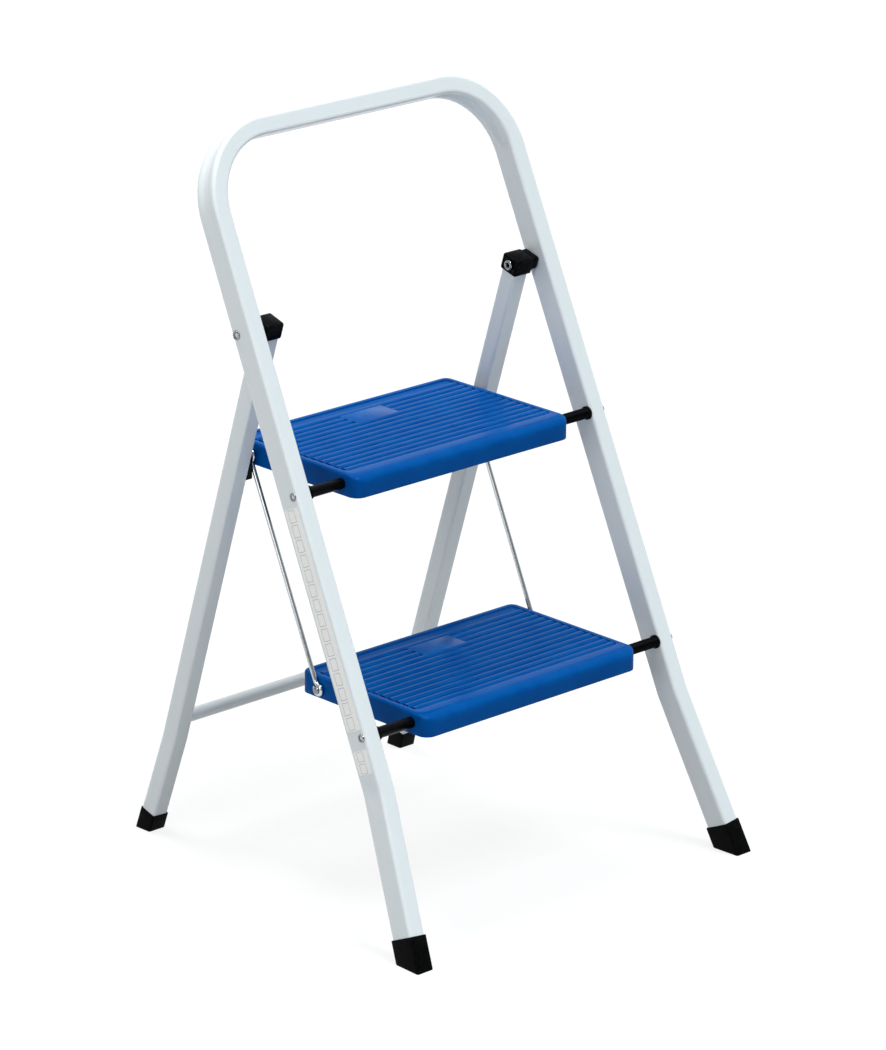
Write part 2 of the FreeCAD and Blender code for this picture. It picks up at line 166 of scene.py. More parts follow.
def ramp(tree, source, low, high):  # smooth 0..1 between two levels
    return node(tree, "ShaderNodeMapRange", [("Value", source), ("From Min", low), ("From Max", high)],
                interpolation_type="SMOOTHSTEP").outputs["Result"]


def buildMouldGrain():
    tree, gin, out = newGroup("surfaceGrain", [
        ("Fine Scale", "NodeSocketFloat", 900.0), ("Broad Scale", "NodeSocketFloat", 60.0),
        ("Broad Share", "NodeSocketFloat", 0.5)], [("Height", "NodeSocketFloat"), ("Tone", "NodeSocketFloat")])
    co = node(tree, "ShaderNodeTexCoord").outputs["Object"]
    fine = node(tree, "ShaderNodeTexNoise", [("Vector", co), ("Scale", gin.outputs["Fine Scale"]), ("Detail", 2.0)])
    broad = node(tree, "ShaderNodeTexNoise", [("Vector", co), ("Scale", gin.outputs["Broad Scale"]), ("Detail", 3.0)])
    mix = node(tree, "ShaderNodeMix", [("Factor", gin.outputs["Broad Share"]), ("A", fine.outputs["Fac"]),
                                       ("B", broad.outputs["Fac"])], data_type="FLOAT")
    tree.links.new(mix.outputs["Result"], out.inputs["Height"])
    tree.links.new(broad.outputs["Fac"], out.inputs["Tone"])
    return tree


# lightens the convex edges found by pointiness: edge wear, and on the white coat, the black plastic and the rubber a
# painted edge highlight
def buildEdgeWearAndHighlight():
    tree, gin, out = newGroup("edgeWearAndHighlight", [
        ("Width", "NodeSocketFloat", 0.06), ("Breakup Scale", "NodeSocketFloat", 90.0),
        ("Amount", "NodeSocketFloat", 0.5)], [("Mask", "NodeSocketFloat")])
    geo = node(tree, "ShaderNodeNewGeometry")
    co = node(tree, "ShaderNodeTexCoord").outputs["Object"]
    high = node(tree, "ShaderNodeMath", [(0, gin.outputs["Width"]), (1, 0.5)], operation="ADD")
    edge = node(tree, "ShaderNodeMapRange", [("Value", geo.outputs["Pointiness"]), ("From Min", 0.505),
                                             ("From Max", high.outputs[0])])
    noise = node(tree, "ShaderNodeTexNoise", [("Vector", co), ("Scale", gin.outputs["Breakup Scale"]),
                                              ("Detail", 4.0)])
    broken = ramp(tree, noise.outputs["Fac"], 0.4, 0.62)
    mul = node(tree, "ShaderNodeMath", [(0, edge.outputs["Result"]), (1, broken)], operation="MULTIPLY")
    end = node(tree, "ShaderNodeMath", [(0, mul.outputs[0]), (1, gin.outputs["Amount"])], operation="MULTIPLY")
    end.use_clamp = True
    tree.links.new(end.outputs[0], out.inputs["Mask"])
    return tree


def buildDustFilm():
    tree, gin, out = newGroup("dustFilm", [
        ("Scale", "NodeSocketFloat", 25.0), ("Amount", "NodeSocketFloat", 0.1)], [("Mask", "NodeSocketFloat")])
    geo = node(tree, "ShaderNodeNewGeometry")
    co = node(tree, "ShaderNodeTexCoord").outputs["Object"]
    up = node(tree, "ShaderNodeSeparateXYZ", [(0, geo.outputs["Normal"])])
    facing = ramp(tree, up.outputs["Z"], 0.2, 0.95)
    noise = node(tree, "ShaderNodeTexNoise", [("Vector", co), ("Scale", gin.outputs["Scale"]), ("Detail", 5.0)])
    patch = ramp(tree, noise.outputs["Fac"], 0.35, 0.75)
    mul = node(tree, "ShaderNodeMath", [(0, facing), (1, patch)], operation="MULTIPLY")
    end = node(tree, "ShaderNodeMath", [(0, mul.outputs[0]), (1, gin.outputs["Amount"])], operation="MULTIPLY")
    tree.links.new(end.outputs[0], out.inputs["Mask"])
    return tree


grainGroup, wearAndHighlightGroup, dustGroup = buildMouldGrain(), buildEdgeWearAndHighlight(), buildDustFilm()


def useGroup(tree, group, values):
    n = tree.nodes.new("ShaderNodeGroup")
    n.node_tree = group
    for k, v in values.items():
        n.inputs[k].default_value = v
    return n


def mixColour(tree, factor, a, b):
    n = node(tree, "ShaderNodeMix", data_type="RGBA")
    ins = {"Factor": n.inputs[0], "A": n.inputs[6], "B": n.inputs[7]}
    for key, v in (("Factor", factor), ("A", a), ("B", b)):
        if isinstance(v, bpy.types.NodeSocket):
            tree.links.new(v, ins[key])
        else:
            ins[key].default_value = v if key == "Factor" else (*v, 1)
    return n.outputs[2]


def finishMaterial(name, p):  # every finish of the stool, from one dictionary of values
    mat = bpy.data.materials.new(name)
    mat.use_nodes = True
    tree = mat.node_tree
    bsdf = tree.nodes["Principled BSDF"]
    grain = useGroup(tree, grainGroup, p["grain"])
    wearAndHighlight = useGroup(tree, wearAndHighlightGroup, p["wearAndHighlight"])
    dust = useGroup(tree, dustGroup, p["dust"])
    tone = mixColour(tree, ramp(tree, grain.outputs["Tone"], 0.3, 0.7), p["colour"], p["colourShift"])
    # edge mask mixes in the lighter edge colour: edge wear, and painted edge highlight on the white coat and the
    # black parts
    wornAndHighlit = mixColour(tree, wearAndHighlight.outputs["Mask"], tone, p["wearAndHighlightColour"])
    dusty = mixColour(tree, dust.outputs["Mask"], wornAndHighlit, p["dustColour"])
    tree.links.new(dusty, bsdf.inputs["Base Color"])
    rough = node(tree, "ShaderNodeMapRange", [("Value", grain.outputs["Tone"]), ("From Min", 0.3), ("From Max", 0.7),
                                              ("To Min", p["rough"][0]), ("To Max", p["rough"][1])])
    addRough = node(tree, "ShaderNodeMath", [(0, rough.outputs["Result"]), (1, dust.outputs["Mask"])],
                    operation="ADD")
    tree.links.new(addRough.outputs[0], bsdf.inputs["Roughness"])
    bump = node(tree, "ShaderNodeBump", [("Strength", p["bump"]), ("Distance", p["bumpDepth"] * mm),
                                         ("Height", grain.outputs["Height"])])
    tree.links.new(bump.outputs["Normal"], bsdf.inputs["Normal"])
    bsdf.inputs["Metallic"].default_value = p.get("metallic", 0.0)
    bsdf.inputs["Specular IOR Level"].default_value = p.get("specular", 0.5)
    return mat


finishes = {
    "frameCoat": {"colour": (0.755, 0.805, 0.828), "colourShift": (0.763, 0.812, 0.835),
                  # painted edge highlight: the edge mask makes the white coat's edges lighter and bluer
                  "wearAndHighlightColour": (0.88, 0.92, 0.94),
                  "dustColour": (0.62, 0.61, 0.58), "rough": (0.22, 0.25), "bump": 0.22, "bumpDepth": 0.2,
                  "specular": 0.4,
                  "grain": {"Fine Scale": 420.0, "Broad Scale": 18.0, "Broad Share": 0.15},
                  "wearAndHighlight": {"Width": 0.08, "Breakup Scale": 60.0, "Amount": 0.35},
                  "dust": {"Scale": 18.0, "Amount": 0.05}},
    "bluePlastic": {"colour": (0.0, 0.066, 0.285), "colourShift": (0.0, 0.074, 0.305),
                    "wearAndHighlightColour": (0.01, 0.16, 0.52),
                    "dustColour": (0.02, 0.12, 0.32), "rough": (0.15, 0.23), "bump": 0.2, "bumpDepth": 0.12,
                    "specular": 0.025,
                    "grain": {"Fine Scale": 800.0, "Broad Scale": 22.0, "Broad Share": 0.3},
                    "wearAndHighlight": {"Width": 0.06, "Breakup Scale": 45.0, "Amount": 0.35},
                    "dust": {"Scale": 22.0, "Amount": 0.04}},
    "blackPlastic": {"colour": (0.0008, 0.0012, 0.0017), "colourShift": (0.0016, 0.0021, 0.0027),
                     # painted edge highlight: the edge mask lightens the black plastic's corners to grey
                     "wearAndHighlightColour": (0.03, 0.03, 0.032),
                     "dustColour": (0.03, 0.03, 0.03), "rough": (0.24, 0.34), "bump": 0.4, "bumpDepth": 0.12,
                     "specular": 0.025,
                     "grain": {"Fine Scale": 1500.0, "Broad Scale": 140.0, "Broad Share": 0.1},
                     "wearAndHighlight": {"Width": 0.12, "Breakup Scale": 260.0, "Amount": 0.3},
                     "dust": {"Scale": 60.0, "Amount": 0.04}},
    "footRubber": {"colour": (0.0010, 0.0011, 0.0013), "colourShift": (0.0020, 0.0021, 0.0023),
                   # painted edge highlight: the edge mask lightens the rubber's corners to grey
                   "wearAndHighlightColour": (0.03, 0.03, 0.03),
                   "dustColour": (0.05, 0.05, 0.048), "rough": (0.32, 0.45), "bump": 0.4, "bumpDepth": 0.15,
                   "specular": 0.025,
                   "grain": {"Fine Scale": 1100.0, "Broad Scale": 130.0, "Broad Share": 0.1},
                   "wearAndHighlight": {"Width": 0.12, "Breakup Scale": 220.0, "Amount": 0.3},
                   "dust": {"Scale": 50.0, "Amount": 0.05}},
    "zincSteel": {"colour": (0.50, 0.53, 0.55), "colourShift": (0.58, 0.61, 0.63), "wearAndHighlightColour": (0.65, 0.67, 0.68),
                  "dustColour": (0.3, 0.3, 0.3), "rough": (0.09, 0.14), "bump": 0.12, "bumpDepth": 0.05,
                  "metallic": 1.0,
                  "grain": {"Fine Scale": 500.0, "Broad Scale": 90.0, "Broad Share": 0.6},
                  "wearAndHighlight": {"Width": 0.1, "Breakup Scale": 200.0, "Amount": 0.2},
                  "dust": {"Scale": 80.0, "Amount": 0.04}},
    "rivetSteel": {"colour": (0.21, 0.22, 0.23), "colourShift": (0.29, 0.30, 0.31), "wearAndHighlightColour": (0.65, 0.65, 0.66),
                   "dustColour": (0.2, 0.2, 0.2), "rough": (0.14, 0.24), "bump": 0.2, "bumpDepth": 0.06,
                   "metallic": 1.0,
                   "grain": {"Fine Scale": 900.0, "Broad Scale": 160.0, "Broad Share": 0.4},
                   "wearAndHighlight": {"Width": 0.1, "Breakup Scale": 250.0, "Amount": 0.3},
                   "dust": {"Scale": 90.0, "Amount": 0.06}},
}
finish = {name: finishMaterial(name, p) for name, p in finishes.items()}
print("finishes ready")


# geometry nodes: the trees and how they are run
def geoGroup(name, inputs):
    tree = bpy.data.node_groups.new(name, "GeometryNodeTree")
    tree.interface.new_socket("Geometry", in_out="INPUT", socket_type="NodeSocketGeometry")
    ids = {}
    for label, kind, value in inputs:
        s = tree.interface.new_socket(label, in_out="INPUT", socket_type=kind)
        if value is not None:
            s.default_value = value
        ids[label] = s.identifier
    tree.interface.new_socket("Geometry", in_out="OUTPUT", socket_type="NodeSocketGeometry")
    return tree, tree.nodes.new("NodeGroupInput"), tree.nodes.new("NodeGroupOutput"), ids


def maths(tree, op, a, b=None, clamp=False):
    n = node(tree, "ShaderNodeMath", operation=op)
    n.use_clamp = clamp
    for i, v in enumerate((a, b)):
        if v is None:
            continue
        if isinstance(v, bpy.types.NodeSocket):
            tree.links.new(v, n.inputs[i])
        else:
            n.inputs[i].default_value = v
    return n.outputs[0]


def bakeNodes(obj, tree, ids, values, name):  # runs the tree on obj and gives back a plain mesh
    mod = obj.modifiers.new(tree.name, "NODES")
    mod.node_group = tree
    for label, v in values.items():
        mod[ids[label]] = v
    deps = bpy.context.evaluated_depsgraph_get()
    mesh = bpy.data.meshes.new_from_object(obj.evaluated_get(deps))
    obj.modifiers.remove(mod)
    mesh.name = name
    old = obj.data
    bpy.data.objects.remove(obj)
    bpy.data.meshes.remove(old)
    return mesh


def buildBentTube():  # rounded box section swept along a flat line of edges
    tree, gin, out, ids = geoGroup("bentTube", [
        ("Width", "NodeSocketFloat", 0.02), ("Depth", "NodeSocketFloat", 0.03),
        ("Corner Radius", "NodeSocketFloat", 0.0035), ("Corner Steps", "NodeSocketInt", 5),
        ("Face Cuts", "NodeSocketInt", 9),
        ("Finish", "NodeSocketMaterial", None)])
    line = node(tree, "GeometryNodeMeshToCurve", [("Mesh", gin.outputs["Geometry"])])
    box = node(tree, "GeometryNodeCurvePrimitiveQuadrilateral", [("Width", gin.outputs["Width"]),
                                                                 ("Height", gin.outputs["Depth"])])
    fillet = node(tree, "GeometryNodeFilletCurve", mode="POLY")
    for key, source in (("Curve", box.outputs["Curve"]), ("Radius", gin.outputs["Corner Radius"]),
                        ("Count", gin.outputs["Corner Steps"])):
        tree.links.new(source, fillet.inputs[key])
    here = node(tree, "GeometryNodeInputPosition").outputs[0]
    step = node(tree, "GeometryNodeOffsetPointInCurve", [("Offset", 1)])
    nextAt = node(tree, "GeometryNodeFieldAtIndex", [("Index", step.outputs["Point Index"])],
                  data_type="FLOAT_VECTOR",
                  domain="POINT")
    tree.links.new(here, nextAt.inputs["Value"])
    gap = node(tree, "ShaderNodeVectorMath", operation="DISTANCE")
    tree.links.new(here, gap.inputs[0])
    tree.links.new(nextAt.outputs[0], gap.inputs[1])
    isLong = maths(tree, "GREATER_THAN", gap.outputs["Value"], 0.004)
    cuts = maths(tree, "MULTIPLY", isLong, gin.outputs["Face Cuts"])
    split = node(tree, "GeometryNodeSubdivideCurve", [("Curve", fillet.outputs["Curve"]), ("Cuts", cuts)])
    tube = node(tree, "GeometryNodeCurveToMesh", [("Curve", line.outputs["Curve"]),
                                                  ("Profile Curve", split.outputs["Curve"]),
                                                  ("Fill Caps", True)])
    real = node(tree, "GeometryNodeRealizeInstances", [("Geometry", tube.outputs["Mesh"])])
    paint = node(tree, "GeometryNodeSetMaterial", [("Geometry", real.outputs["Geometry"]),
                                                   ("Material", gin.outputs["Finish"])])
    tree.links.new(paint.outputs["Geometry"], out.inputs[0])
    return tree, ids


def buildTreadRibs():  # repeats the grip ribs on top and the webs underneath, and joins them to the shell
    tree, gin, out, ids = geoGroup("treadRibs", [
        ("Rib Count", "NodeSocketInt", 13), ("Rib Pitch", "NodeSocketFloat", 0.0116),
        ("Rib Length", "NodeSocketFloat", 0.288),
        ("Rib Width", "NodeSocketFloat", 0.0084), ("Rib Height", "NodeSocketFloat", 0.0023),
        ("First Rib", "NodeSocketVector", (0, 0.0068, 0.0095)), ("Web Count", "NodeSocketInt", 4),
        ("Web Gap", "NodeSocketVector", (0.0616, 0, 0)), ("Web Size", "NodeSocketVector", (0.0024, 0.18, 0.012)),
        ("First Web", "NodeSocketVector", (-0.0924, 0.07, 0.0005)), ("Finish", "NodeSocketMaterial", None)])
    lengthIn, widthIn = gin.outputs["Rib Length"], gin.outputs["Rib Width"]
    half = maths(tree, "MULTIPLY", lengthIn, 0.5)
    line = node(tree, "GeometryNodeMeshLine", [("Count", 72), ("Start Location", (-1, 0, 0)),
                                               ("Offset", (2 / 71, 0, 0))])
    axis = node(tree, "ShaderNodeSeparateXYZ", [(0, node(tree, "GeometryNodeInputPosition").outputs[0])])
    swing = maths(tree, "SINE", maths(tree, "MULTIPLY", axis.outputs["X"], pi / 2))  # closer together at the ends
    along = maths(tree, "MULTIPLY", swing, half)
    spot = node(tree, "ShaderNodeCombineXYZ", [("X", along)])
    eased = node(tree, "GeometryNodeSetPosition", [("Geometry", line.outputs["Mesh"]), ("Position", spot.outputs[0])])
    curve = node(tree, "GeometryNodeMeshToCurve", [("Mesh", eased.outputs["Geometry"])])
    end = maths(tree, "MULTIPLY", widthIn, 0.6)
    fromEnd = maths(tree, "SUBTRACT", half, maths(tree, "ABSOLUTE", axis.outputs["X"]))
    lack = maths(tree, "DIVIDE", maths(tree, "SUBTRACT", end, fromEnd), end, clamp=True)
    roundEnd = maths(tree, "SQRT", maths(tree, "SUBTRACT", 1.0, maths(tree, "MULTIPLY", lack, lack)))
    radius = maths(tree, "MAXIMUM", roundEnd, 0.02)
    sized = node(tree, "GeometryNodeSetCurveRadius", [("Curve", curve.outputs["Curve"]), ("Radius", radius)])
    ring = node(tree, "GeometryNodeCurvePrimitiveCircle",
                [("Resolution", 28), ("Radius", maths(tree, "MULTIPLY", widthIn, 0.5))])
    rib = node(tree, "GeometryNodeCurveToMesh", [("Curve", sized.outputs["Curve"]),
                                                 ("Profile Curve", ring.outputs["Curve"]),
                                                 ("Fill Caps", True)])
    squash = maths(tree, "DIVIDE", gin.outputs["Rib Height"], maths(tree, "MULTIPLY", widthIn, 0.5))
    flat = node(tree, "ShaderNodeCombineXYZ", [("X", 1.0), ("Y", 1.0), ("Z", squash)])
    ribFlat = node(tree, "GeometryNodeTransform", [("Geometry", rib.outputs["Mesh"]), ("Scale", flat.outputs[0])])
    pitch = node(tree, "ShaderNodeCombineXYZ", [("Y", gin.outputs["Rib Pitch"])])
    row = node(tree, "GeometryNodeMeshLine", [("Count", gin.outputs["Rib Count"]),
                                              ("Start Location", gin.outputs["First Rib"]),
                                              ("Offset", pitch.outputs[0])])
    ribs = node(tree, "GeometryNodeInstanceOnPoints",
                [("Points", row.outputs["Mesh"]), ("Instance", ribFlat.outputs["Geometry"])])
    web = node(tree, "GeometryNodeMeshCube", [("Size", gin.outputs["Web Size"])])
    webRow = node(tree, "GeometryNodeMeshLine", [("Count", gin.outputs["Web Count"]),
                                                 ("Start Location", gin.outputs["First Web"]),
                                                 ("Offset", gin.outputs["Web Gap"])])
    webs = node(tree, "GeometryNodeInstanceOnPoints",
                [("Points", webRow.outputs["Mesh"]), ("Instance", web.outputs["Mesh"])])
    join = node(tree, "GeometryNodeJoinGeometry")
    for piece in (gin.outputs["Geometry"], ribs.outputs["Instances"], webs.outputs["Instances"]):
        tree.links.new(piece, join.inputs[0])
    real = node(tree, "GeometryNodeRealizeInstances", [("Geometry", join.outputs["Geometry"])])
    paint = node(tree, "GeometryNodeSetMaterial", [("Geometry", real.outputs["Geometry"]),
                                                   ("Material", gin.outputs["Finish"])])
    tree.links.new(paint.outputs["Geometry"], out.inputs[0])
    return tree, ids


tubeTree, tubeIds = buildBentTube()
ribTree, ribIds = buildTreadRibs()


def bentLine(corners, radii, straightStep=30.0, arcStep=2.0):
    pts, bends, run = [], [], 0.0
    last = Vector(corners[0])

    def addTo(p):
        nonlocal run
        if pts:
            run += (p - pts[-1][0]).length
        pts.append((p, run))

    def straight(a, b):
        n = max(1, int((b - a).length / straightStep))
        for k in range(n + 1):
            if k or not pts:
                addTo(a.lerp(b, k / n))

    for i in range(1, len(corners) - 1):
        c = Vector(corners[i])
        u, w = (Vector(corners[i - 1]) - c).normalized(), (Vector(corners[i + 1]) - c).normalized()
        half = u.angle(w) / 2
        r = radii[i - 1]
        cut = r * cos(half) / sin(half)
        a, b = c + u * cut, c + w * cut
        mid = c + (u + w).normalized() * (r / sin(half))
        straight(last, a)
        start = run
        va, vb = a - mid, b - mid
        turn = va.angle(vb)
        sign = 1 if va.x * vb.y - va.y * vb.x > 0 else -1
        n = max(4, int(turn / radians(arcStep)))
        for k in range(1, n + 1):
            t = sign * turn * k / n
            addTo(mid + Vector((va.x * cos(t) - va.y * sin(t), va.x * sin(t) + va.y * cos(t))))
        bends.append((start, run))
        last = b
    straight(last, Vector(corners[-1]))
    return pts, bends


def sweptTube(name, pts, p):
    mesh = bpy.data.meshes.new(name + "Line")
    mesh.from_pydata([(q.x * mm, q.y * mm, 0) for q, run in pts], [(i, i + 1) for i in range(len(pts) - 1)], [])
    line = bpy.data.objects.new(name + "Line", mesh)
    scene.collection.objects.link(line)
    return bakeNodes(line, tubeTree, tubeIds, {
        "Width": p["width"] * mm, "Depth": p["depth"] * mm, "Corner Radius": p["corner"] * mm,
        "Corner Steps": p["cornerSteps"], "Face Cuts": p["faceCuts"], "Finish": finish["frameCoat"]}, name)


frontTube = {"width": 20.0, "depth": 30.0, "corner": 3.5, "cornerSteps": 5, "faceCuts": 17,
             "railBend": 82.0, "splayBend": 60.0, "start": 12.0,
             "outerDish": 1.8, "innerGroove": 6.0, "grooveBack": -1.6, "dishReach": 26.0, "dishSpread": 10.5,
             "splayDent": 1.7, "splayDentLength": 17.0, "splayDentWidth": 8.5}


def softWindow(d, flat, reach):  # 1 up to flat, then eases to 0 at reach
    if d <= flat:
        return 1.0
    if d >= reach:
        return 0.0
    t = (d - flat) / (reach - flat)
    return 1 - t * t * (3 - 2 * t)


def pressBends(mesh, pts, bends, p):
    tree = KDTree(len(pts))
    for i, (q, run) in enumerate(pts):
        tree.insert((q.x, q.y, 0), i)
    tree.balance()
    for v in mesh.vertices:
        x, s, o = v.co.x / mm, v.co.y / mm, v.co.z / mm
        near = tree.find((x, s, 0))[1]
        a, b = pts[max(0, near - 1)][0], pts[min(len(pts) - 1, near + 1)][0]
        t = (b - a).normalized()
        n = Vector((-t.y, t.x))  # towards the outside of the frame
        c, run = pts[near]
        d = Vector((x, s)) - c
        u, station = d.dot(n), run + d.dot(t)
        shift = 0.0
        for k, (b0, b1) in enumerate(bends):
            away = abs(station - (b0 + b1) / 2)
            half = (b1 - b0) / 2
            if k in (1, 2):
                if u > p["width"] / 2 - 0.3:
                    w = softWindow(away, half * 0.62, half + p["dishReach"])
                    shift -= p["outerDish"] * w * softWindow(abs(o), 2.0, p["dishSpread"])
                elif u < -p["width"] / 2 + 0.3:
                    w = softWindow(away, half * 0.8, half * 1.03)
                    shift += p["innerGroove"] * w * softWindow(abs(o - p["grooveBack"]), 2.4, 8.6)
            elif u > p["width"] / 2 - 0.3:
                w = (softWindow(away / p["splayDentLength"], 0.2, 1.0)
                     * softWindow(abs(o) / p["splayDentWidth"], 0.1, 1.0))
                shift -= p["splayDent"] * w
        if shift:
            v.co.x += n.x * shift * mm
            v.co.y += n.y * shift * mm


def standUp(mesh, pointOf):  # from the flat drawing (across, up, back) to its place
    for v in mesh.vertices:
        v.co = pointOf(v.co.x / mm, v.co.y / mm, v.co.z / mm) * mm
    bm = bmesh.new()
    bm.from_mesh(mesh)
    bmesh.ops.remove_doubles(bm, verts=bm.verts, dist=0.00001)
    bmesh.ops.recalc_face_normals(bm, faces=bm.faces)
    bm.to_mesh(mesh)
    bm.free()


def footPoint(footX, bendX, bendS, up):
    run = hypot(footX - bendX, bendS)
    return Vector((footX + (bendX - footX) * up / run, bendS * up / run))


def makeFrontFrame(p):
    foot = footPoint(layout["frontFootX"], layout["legHalf"], layout["splayS"], p["start"])
    right = [foot, Vector((layout["legHalf"], layout["splayS"])), Vector((legX(layout["railS"]), layout["railS"]))]
    corners = [Vector((-q.x, q.y)) for q in right] + list(reversed(right))
    pts, bends = bentLine(corners, [p["splayBend"], p["railBend"], p["railBend"], p["splayBend"]], 4.0, 1.5)
    mesh = sweptTube("frontFrame", pts, p)
    pressBends(mesh, pts, bends, p)
    standUp(mesh, frontPoint)
    place(finishMesh("frontFrame", mesh, 40), "front_frame", "frame_coat", finish["frameCoat"], "front_frame_tube")


makeFrontFrame(frontTube)

rearTube = {"width": 20.0, "depth": 20.0, "corner": 2.5, "cornerSteps": 5, "faceCuts": 3, "splayBend": 60.0,
            "start": 12.0,
            "top": 641.0}


def makeRearLeg(side, word, p):
    foot = footPoint(layout["rearFootX"], layout["rearX"], layout["rearSplayS"], p["start"])
    corners = [foot, Vector((layout["rearX"], layout["rearSplayS"])), Vector((layout["rearX"], p["top"]))]
    pts, bends = bentLine([Vector((side * q.x, q.y)) for q in corners], [p["splayBend"]], 25.0, 2.0)
    mesh = sweptTube("rearLeg" + word.title(), pts, p)
    standUp(mesh, rearPoint)
    place(finishMesh("rearLeg" + word.title(), mesh, 40), "rear_frame", "frame_coat", finish["frameCoat"],
          "rear_leg_" + word)


sides = ((-1, "left"), (1, "right"))
for side, word in sides:
    makeRearLeg(side, word, rearTube)

crossbarShape = {"radius": 7.25, "weld": 1.6, "weldLength": 4.0}


def makeCrossbar(p):
    lo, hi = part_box("rear_crossbar")
    reach = hi.x / mm
    y, z = (lo.y + hi.y) / 2 / mm, (lo.z + hi.z) / 2 / mm
    half = []
    for k in range(7):  # weld bead running out onto the bar
        t = k / 6
        half.append((reach + 0.6 - p["weldLength"] * t, p["radius"] + p["weld"] * (1 - t) ** 2))
    profile = [(-x, r) for x, r in half] + [(x, r) for x, r in reversed(half)]
    bm = bmesh.new()
    lathe(bm, profile, (y, z), 44)
    place(meshFromBmesh("rearCrossbar", bm), "rear_frame", "frame_coat", finish["frameCoat"], "rear_crossbar")


makeCrossbar(crossbarShape)
print("tubes ready")

# slip-on feet, cut level with the floor
boots = {
    "front": {"width": 20.0, "depth": 30.0, "reach": 31.0, "wall": 1.1, "bootCorner": 2.2, "sole": 1.1, "lip": 0.8},
    "rear": {"width": 20.0, "depth": 20.0, "reach": 23.0, "wall": 1.1, "bootCorner": 2.2, "sole": 1.1, "lip": 0.8},
}


def makeBoot(which, side, word):
    p = boots[which]
    if which == "front":
        footX, bendX, bendS, pointOf, upS, upO = (layout["frontFootX"], layout["legHalf"], layout["splayS"],
                                                  frontPoint, cosF, -sinF)
    else:
        footX, bendX, bendS, pointOf, upS, upO = (layout["rearFootX"], layout["rearX"], layout["rearSplayS"],
                                                  rearPoint, cosR, sinR)
    run = hypot(footX - bendX, bendS)
    dx, ds = (bendX - footX) / run, bendS / run

    def ring(inset, along=None, height=None):
        w, d = p["width"] + 2 * p["wall"] - 2 * inset, p["depth"] + 2 * p["wall"] - 2 * inset
        made = []
        for a, b in roundedRect(w, d, max(p["bootCorner"] - inset, 0.5), 6):
            t = along if height is None else ((height - upO * b) / upS + dx * a) / ds
            made.append(pointOf(side * (footX + dx * t + ds * a), ds * t - dx * a, b))
        return made

    reach, lip = p["reach"], p["lip"]
    rings = [ring(2.4, height=0.9), ring(2.0, height=0.05), ring(p["sole"], height=0.0), ring(0.4, height=0.2),
             ring(0.1, height=0.6), ring(0.0, height=1.2), ring(0.0, height=5.0),
             ring(0.0, along=reach * 0.6), ring(0.0, along=reach - lip), ring(0.12, along=reach - lip * 0.45),
             ring(0.42, along=reach - lip * 0.12), ring(0.8, along=reach), ring(1.12, along=reach - 0.1),
             ring(1.3, along=reach - 0.6), ring(1.3, along=reach - 6.0)]
    bm = bmesh.new()
    loft(bm, rings)
    name = which + "Boot" + word.title()
    place(meshFromBmesh(name, bm, 30), which + "_frame", "foot_rubber", finish["footRubber"], which + "_foot_" + word)


for side, word in sides:
    makeBoot("front", side, word)
    makeBoot("rear", side, word)

hingeShape = {"cap": 12.0, "low": 9.5, "high": 9.5, "corner": 2.6, "spacerCorner": 3.0, "gap": 0.7}


def makeHingeBlock(side, word, p):
    x0, x1 = layout["rearX"] - p["cap"], layout["rearX"] + p["cap"]
    x2 = legX(hingeS) - layout["legSide"] - p["gap"]
    mid = jointAt["rear_frame_fold"].z / cosR

    def ring(x, inset, w, low, high, r):
        made = []
        for a, b in roundedRect(2 * w - 2 * inset, low + high - 2 * inset, max(r - inset * 0.6, 0.4), 4):
            made.append(rearPoint(side * x, mid + (high - low) / 2 + b, a))
        return made

    c, lo, hi, r = p["cap"], p["low"], p["high"], p["corner"]
    rings = [ring(x0 + 0.35, 3.6, c, lo, hi, r), ring(x0, 3.0, c, lo, hi, r), ring(x0, 2.1, c, lo, hi, r),
             ring(x0 + 0.3, 1.3, c, lo, hi, r),
             ring(x0 + 1.4, 0.3, c, lo, hi, r), ring(x0 + 2.2, 0.0, c, lo, hi, r), ring(x1 - 0.6, 0.0, c, lo, hi, r),
             ring(x1 - 0.15, 0.2, c, lo, hi, r), ring(x1, 0.6, c, lo, hi, r)]
    s, sl, sh, sr = c - 1.0, lo - 3.8, hi - 0.8, p["spacerCorner"]
    rings += [ring(x1, 0.0, s, sl, sh, sr), ring(x2 - 0.6, 0.0, s, sl, sh, sr), ring(x2 - 0.15, 0.2, s, sl, sh, sr),
              ring(x2, 0.6, s, sl, sh, sr)]
    bm = bmesh.new()
    loft(bm, rings)
    place(meshFromBmesh("hingeBlock" + word.title(), bm, 30), "rear_frame", "black_plastic", finish["blackPlastic"],
          "hinge_block_" + word)


def domeProfile(x, r, rise, steps=7):  # (x, radius) from the rim to the top of a low dome
    return [(x + rise * sin(pi / 2 * k / steps), r * cos(pi / 2 * k / steps)) for k in range(steps + 1)]


def rolledRim(x, rim, bore, rise, depth, steps=10):  # a tube end curled outwards, and the bore inside it
    mid, roll = (rim + bore) / 2, (rim - bore) / 2
    curl = [(x + rise * sin(pi * k / steps), mid + roll * cos(pi * k / steps)) for k in range(steps + 1)]
    return curl + [(x - depth * 0.6, bore * 0.92), (x - depth * 0.9, bore * 0.7), (x - depth, 0.0)]


